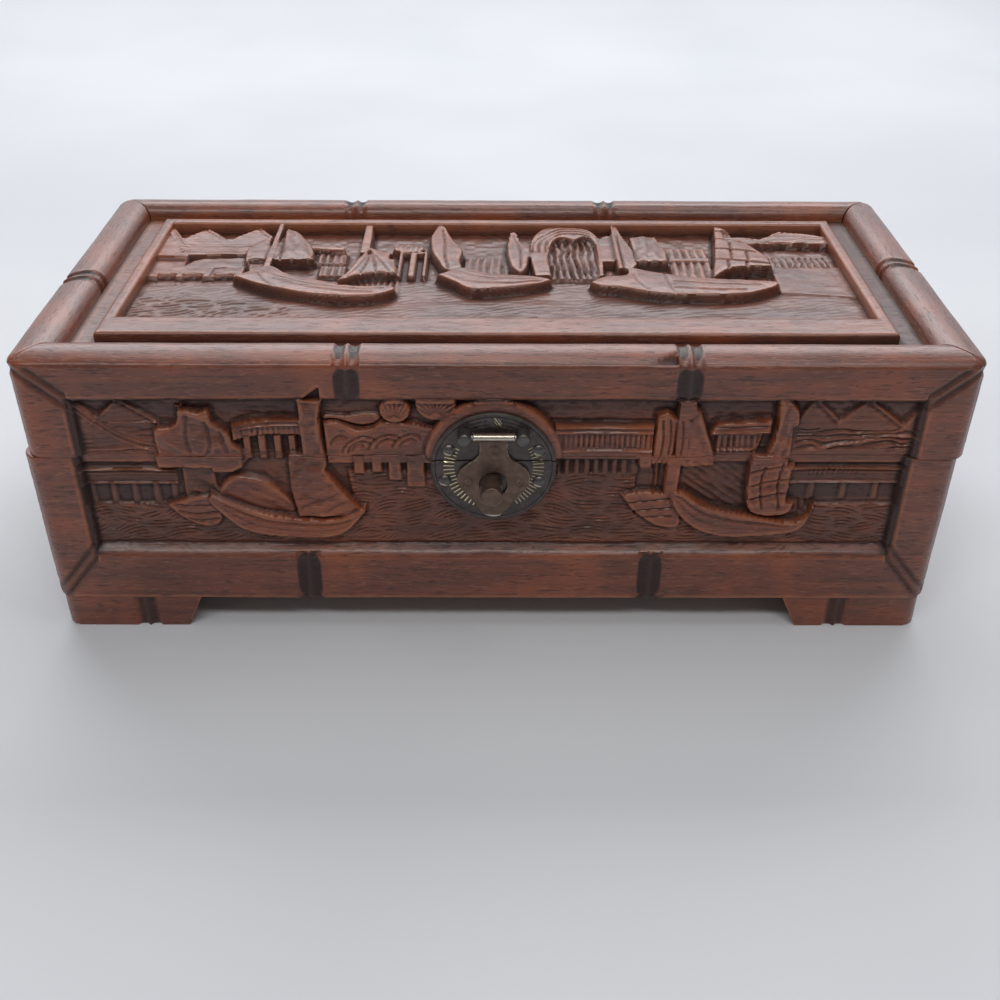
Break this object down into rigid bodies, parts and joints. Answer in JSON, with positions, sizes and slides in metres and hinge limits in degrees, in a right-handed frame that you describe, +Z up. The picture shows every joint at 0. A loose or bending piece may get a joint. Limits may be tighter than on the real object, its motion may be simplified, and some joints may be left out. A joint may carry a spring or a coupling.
{
  "type": "carved wooden box",
  "caption": "Rectangular carved camphor-wood box with bamboo-shaped rails, sunk carved panels, bracket feet, a hinged lid and a round brass hasp lock.",
  "frame": {"origin": "on the floor under the middle of the whole box, staple included", "axes": "+X to the right along the front, +Y from the front to the hinged back, +Z up"},
  "size_m": [0.3014, 0.1524, 0.1054],
  "materials": {
    "carved_camphor_wood": "red-brown stained camphor wood under worn satin varnish",
    "plain_camphor_wood": "planed camphor wood, unvarnished",
    "foot_wood": "red-brown stained camphor wood under worn satin varnish",
    "aged_brass": "brass with a dark patina, bright on worn edges",
    "hinge_brass": "dull rolled brass"
  },
  "bodies": {
    "base": {"base_front": "carved_camphor_wood", "base_back": "carved_camphor_wood", "base_left": "carved_camphor_wood", "base_right": "carved_camphor_wood", "base_bottom": "plain_camphor_wood", "foot_front_left": "foot_wood", "foot_front_right": "foot_wood", "foot_back_left": "foot_wood", "foot_back_right": "foot_wood", "hinge_base_leaf_left": "hinge_brass", "hinge_base_leaf_right": "hinge_brass", "hinge_pin_left": "hinge_brass", "hinge_pin_right": "hinge_brass", "hinge_base_screws": "hinge_brass", "lock_plate_lower": "aged_brass", "plate_nails_lower": "aged_brass", "lock_staple": "aged_brass"},
    "lid": {"lid_front": "carved_camphor_wood", "lid_back": "carved_camphor_wood", "lid_left": "carved_camphor_wood", "lid_right": "carved_camphor_wood", "lid_panel": "carved_camphor_wood", "hinge_lid_leaf_left": "hinge_brass", "hinge_lid_leaf_right": "hinge_brass", "hinge_lid_screws": "hinge_brass", "lock_plate_upper": "aged_brass", "plate_nails_upper": "aged_brass", "hasp_post_left": "aged_brass", "hasp_post_right": "aged_brass", "hasp_rod": "aged_brass"},
    "hasp": {"hasp": "aged_brass"}
  },
  "joints": [
    {"name": "lid_hinge", "type": "hinge", "parent": "base", "child": "lid", "pos_m": [0, 0.07358, 0.0696], "axis": [-1, 0, 0], "range_deg": [0, 105]},
    {"name": "hasp_swing", "type": "hinge", "parent": "lid", "child": "hasp", "pos_m": [-0.00043, -0.06872, 0.0797], "axis": [-1, 0, 0], "range_deg": [0, 170]}
  ]
}
